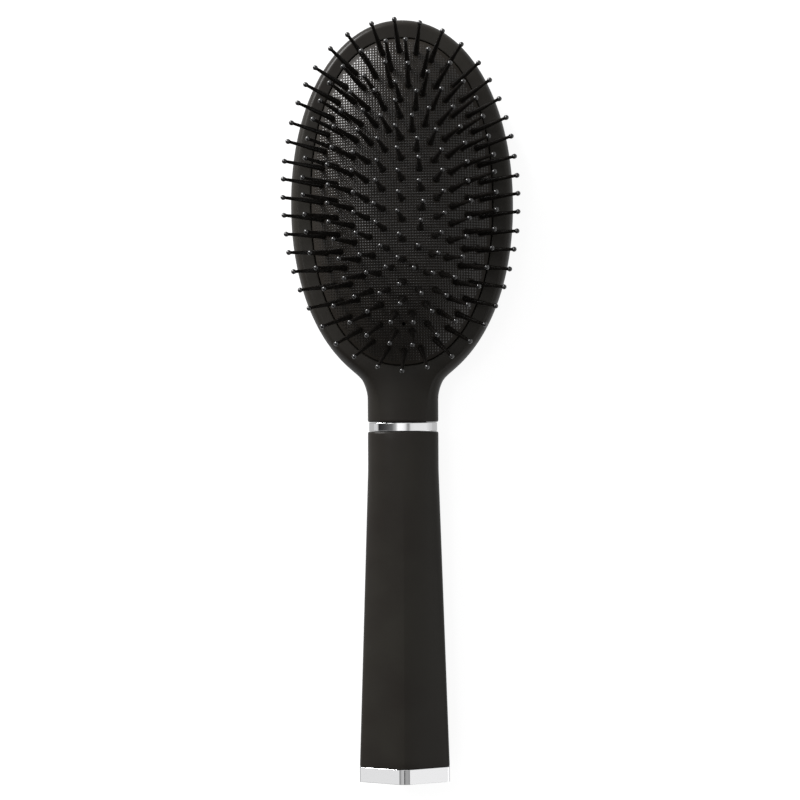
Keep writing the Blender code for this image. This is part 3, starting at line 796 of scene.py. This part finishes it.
def ringFeet(halfWidth, halfLength, count, phase):
    # even spacing round an oval, counted from the top of the head towards the left
    steps = pins["ringSteps"]
    fine = [ovalPlace(math.pi / 2 + math.tau * step / steps, halfWidth, halfLength, pins["ringPower"])
            for step in range(steps + 1)]
    walked = [0]
    for before, after in zip(fine, fine[1:]):
        walked.append(walked[-1] + math.dist(before, after))
    feet = []
    for step in range(count):
        wanted = (step + phase) / count * walked[-1]
        index = next(place for place in range(steps) if walked[place + 1] >= wanted)
        share = (wanted - walked[index]) / (walked[index + 1] - walked[index])
        feet.append(Vector(fine[index]).lerp(Vector(fine[index + 1]), share))
    return feet


def rowFeet():
    gap = 2 * pins["rowHalfLength"] / (pins["rowCount"] - 1)
    return [Vector((0, pins["rowHalfLength"] - gap * step)) for step in range(pins["rowCount"])]


def pinShape():
    # one pin: its outline from root to ball, spun full circle, with the ball on the second material
    bm = bmesh.new()
    outline = list(pins["shaft"])
    for degrees in pins["ballDegrees"]:
        turn = math.radians(degrees)
        outline.append((pins["ballHeight"] + pins["ballRadius"] * math.sin(turn),
                        pins["ballRadius"] * math.cos(turn)))
    verts = [bm.verts.new((radius, 0, height)) for height, radius in outline]
    edges = [bm.edges.new(pair) for pair in zip(verts, verts[1:])]
    bmesh.ops.spin(bm, geom=verts + edges, cent=(0, 0, 0), axis=(0, 0, 1), angle=math.tau,
                   steps=pins["sides"], use_merge=True)
    bmesh.ops.remove_doubles(bm, verts=bm.verts, dist=weldGap)
    for face in bm.faces:
        polished = face.calc_center_median().z > pins["ballHeight"] + pins["polishFrom"]
        face.material_index = 1 if polished else 0
    mesh = bpy.data.meshes.new("pinShape")
    bm.to_mesh(mesh)
    bm.free()
    return mesh


def pinLean(x, y, chance):
    # pins stand out from the dome a little more than square to it, and none quite like the next
    common = dome["height"] * dome["fall"] * domeShare(x, y) ** (dome["fall"] - dome["power"])
    across, along = seamSlope(x, y)
    wander = math.tan(math.radians(pins["wander"]))
    return Vector((pins["spreadAcross"] * common * across + pins["lean"][0] + chance.gauss(0, wander),
                   pins["spreadAlong"] * common * along + pins["lean"][1] + chance.gauss(0, wander),
                   1)).normalized()


def buildPins(name, feet, shape, finishes, body, node, chance):
    bm = bmesh.new()
    for x, y in feet:
        before = len(bm.verts)
        bm.from_mesh(shape)
        turn = Vector((0, 0, 1)).rotation_difference(pinLean(x, y, chance)).to_matrix().to_4x4()
        stand = Matrix.Translation((x, y + dome["centreY"], domeHeight(x, y))) @ turn
        bmesh.ops.transform(bm, matrix=stand, verts=bm.verts[before:])
    return finishPiece(bm, name, finishes, body, [node], sharpAngle=60)


grip = {
    # section: the neck's at the start, a flattened diamond at the end
    "endHalfWidth": 14.5,
    "sideHeight": 2.0, "ridgeHeight": 7.42, "ridgeHalfWidth": 1.65,     # where the diamond's corners are
    "broadFace": (19.14, 8.12), "ridgeFace": (150, 7.5),    # where each face would meet the axes
    "softCorners": 16, "crispCorners": 70,      # sharpness of the handle's corners and of the cap's
    "sideSteps": 8, "faceSteps": 22, "ridgeSteps": 8,
    # along the brush
    "startY": -9.88, "endY": -117.6, "flareStartY": -22, "flarePower": 0.8, "stations": 44,
    "startEdge": 0.6, "startEdgeSteps": 5, "endEdge": 0.2, "endEdgeSteps": 3,
    "boreHalfWidth": 7.8, "boreHalfDepth": 4.3, "borePower": 3,
}


def crispTurns():
    # polar angles of a section, closest together at the corners of the handle's end
    side = math.atan2(grip["sideHeight"], grip["endHalfWidth"])
    ridge = math.atan2(grip["ridgeHeight"], grip["ridgeHalfWidth"])
    quarter = easedSteps(0, side, grip["sideSteps"]) + easedSteps(side, ridge, grip["faceSteps"])
    quarter += [ridge + (math.pi / 2 - ridge) * share for share in evenShares(grip["ridgeSteps"])]
    half = quarter + [math.pi / 2] + [math.pi - turn for turn in reversed(quarter[1:])]
    return half + [turn + math.pi for turn in half]


def diamondReach(angle, corners):
    # distance from the middle to the edge of the handle's end section
    across, up = abs(math.cos(angle)), abs(math.sin(angle))
    nearness = (across / grip["endHalfWidth"]) ** corners
    for halfWidth, halfDepth in (grip["broadFace"], grip["ridgeFace"]):
        nearness += (across / halfWidth + up / halfDepth) ** corners
    return nearness ** (-1 / corners)


def gripPlace(angle, y, inset, corners=grip["softCorners"]):
    # a point of the handle's section, moved in by the inset
    along = min(max((grip["flareStartY"] - y) / (grip["flareStartY"] - grip["endY"]), 0), 1)
    halfWidth = head["neckHalfWidth"] + along * (grip["endHalfWidth"] - head["neckHalfWidth"])
    oval = polarReach(angle, grip["endHalfWidth"], midDepth, head["sectionPower"])
    reach = oval + (diamondReach(angle, corners) - oval) * along ** grip["flarePower"]
    point = Vector((reach * math.cos(angle) * halfWidth / grip["endHalfWidth"], reach * math.sin(angle)))
    point -= point.normalized() * inset
    return point.x, y, midDepth + point.y


def borePlace(angle, y, smaller=0):
    # a point of the rounded bore that runs through the handle and the ring
    reach = polarReach(angle, grip["boreHalfWidth"] - smaller, grip["boreHalfDepth"] - smaller,
                       grip["borePower"])
    return reach * math.cos(angle), y, midDepth + reach * math.sin(angle)


def edgeProfile(end, towards, edge, steps, support=0):
    # y and inset over a rounded edge, in a sweep from the head to the handle's end; towards is the
    # way along the brush from the end into the piece, and support adds a ring that holds the shading
    profile = [(end + towards * edge * (1 - math.cos(turn)), edge * (1 - math.sin(turn)))
               for turn in quarterTurns(steps)]
    if support:
        profile.append((end + towards * (edge + support), 0))
    return profile if towards < 0 else profile[::-1]


def stationsAt(profile, place):
    # a station for each y and inset; place gives the section's point at a turn
    return [lambda turn, y=y, inset=inset: place(turn, y, inset) for y, inset in profile]


def sweepSection(bm, stations):
    # draws a section through the stations; each gives the place of a polar angle
    turns = crispTurns()
    layer = bm.verts.layers.float.new("turn")
    ring = bmesh.ops.create_circle(bm, segments=len(turns), radius=1)["verts"]
    for vert, turn in zip(ring, turns):
        vert[layer] = turn
        vert.co = stations[0](turn)
    first = edges = bm.edges[:]
    for station in stations[1:]:
        edges, points = growLoop(bm, edges)
        for vert in points:
            vert.co = station(vert[layer])
    bm.verts.layers.float.remove(layer)
    return first, edges


def buildGrip(coat):
    bm = bmesh.new()
    profile = edgeProfile(grip["startY"], -1, grip["startEdge"], grip["startEdgeSteps"])
    topY, bottomY = grip["startY"] - grip["startEdge"], grip["endY"] + grip["endEdge"]
    profile += [(topY + (bottomY - topY) * share, 0) for share in evenShares(grip["stations"])[1:]]
    profile += edgeProfile(grip["endY"], 1, grip["endEdge"], grip["endEdgeSteps"])
    stations = stationsAt([(grip["startY"], 0)], borePlace) + stationsAt(profile, gripPlace)
    stations += stationsAt([(grip["endY"], 0)], borePlace)
    first, last = sweepSection(bm, stations)
    bmesh.ops.bridge_loops(bm, edges=first + last)
    return finishPiece(bm, "grip_sleeve", [coat], "brush_body", ["handle"])


endCap = {
    "startY": -117.75, "endY": -122.5, "edge": 0.08, "edgeSteps": 3, "support": 0.03,
    "plugLength": 10.3, "plugWall": 1.4, "plugPlay": 0.3, "plugFloor": 1.5,
}


def capPlace(turn, y, inset):
    # the section of the handle's end, with sharper corners
    return gripPlace(turn, y, inset, grip["crispCorners"])


def buildEndCap(chrome):
    # from the plug's mouth over its outside to the cap, then the plug is hollowed down into the cap
    bm = bmesh.new()
    mouthY = endCap["startY"] + endCap["plugLength"]
    plug = [(mouthY, endCap["plugPlay"] + endCap["plugWall"]), (mouthY, endCap["plugPlay"]),
            (endCap["startY"], endCap["plugPlay"])]
    edges = (endCap["edge"], endCap["edgeSteps"], endCap["support"])
    profile = edgeProfile(endCap["startY"], -1, *edges) + edgeProfile(endCap["endY"], 1, *edges)
    first, last = sweepSection(bm, stationsAt(plug, borePlace) + stationsAt(profile, capPlace))
    bmesh.ops.edgeloop_fill(bm, edges=last)
    floor, points = growLoop(bm, first)
    for vert in points:
        vert.co.y = endCap["startY"] - endCap["plugFloor"]
    bmesh.ops.edgeloop_fill(bm, edges=floor)
    return finishPiece(bm, "end_cap_plated", [chrome], "brush_body", ["end_cap"],
                       sharpAngle=25)


neckBand = {"startY": -6.95, "endY": -9.74, "recess": 0.4, "edge": 0.2, "edgeSteps": 4, "support": 0.04}


def bandPlace(turn, y, inset):
    smaller = neckBand["recess"] + inset
    reach = polarReach(turn, head["neckHalfWidth"] - smaller, midDepth - smaller, head["sectionPower"])
    return reach * math.cos(turn), y, midDepth + reach * math.sin(turn)


def buildNeckBand(chrome):
    # a plated collar, straight along the brush, between two rounded edges
    bm = bmesh.new()
    edges = (neckBand["edge"], neckBand["edgeSteps"], neckBand["support"])
    profile = edgeProfile(neckBand["startY"], -1, *edges) + edgeProfile(neckBand["endY"], 1, *edges)
    stations = stationsAt([(neckBand["startY"], 0)], borePlace) + stationsAt(profile, bandPlace)
    stations += stationsAt([(neckBand["endY"], 0)], borePlace)
    first, last = sweepSection(bm, stations)
    bmesh.ops.bridge_loops(bm, edges=first + last)
    return finishPiece(bm, "neck_band", [chrome], "brush_body", ["neck_ring"])


placeCamera()
for lampName in ("mainBox", "highBox", "sideBox"):
    addSoftbox(lampName, studio[lampName])
buildWorld()
buildFloor()
print("camera, lights and floor set")

coat, chrome = softTouchCoat(), chromePlate()
rubbers = [cushionRubber("mattRubber", rubberLooks["ground"]),
           cushionRubber("polishedRubber", rubberLooks["dots"])]
nylon = [mouldedNylon(), polishedNylonTip()]
print("finishes made")

buildHead(coat)
buildNeckBand(chrome)
buildGrip(coat)
buildEndCap(chrome)

# the cushion sits turned by under a degree in the head, dots and pins alike
settled = Matrix.Rotation(math.radians(cushion["turn"]), 2)
groups = [ringFeet(*ring) for ring in pins["rings"]] + [rowFeet()]
feet = [[settled @ foot for foot in group] for group in groups]
buildCushion(rubbers, [foot for group in feet for foot in group])
buildCushionBead(rubbers[0])
chance = random.Random(pins["seed"])
shape = pinShape()
for index, group in enumerate(feet[:-1], 1):
    buildPins(f"pins_ring_{index}", group, shape, nylon, f"ring_{index}_pins", f"pin_ring_{index}", chance)
buildPins("pins_row", feet[-1], shape, nylon, "centre_pins", "pin_row_centre", chance)

bpy.context.scene.view_settings.view_transform = "Standard"
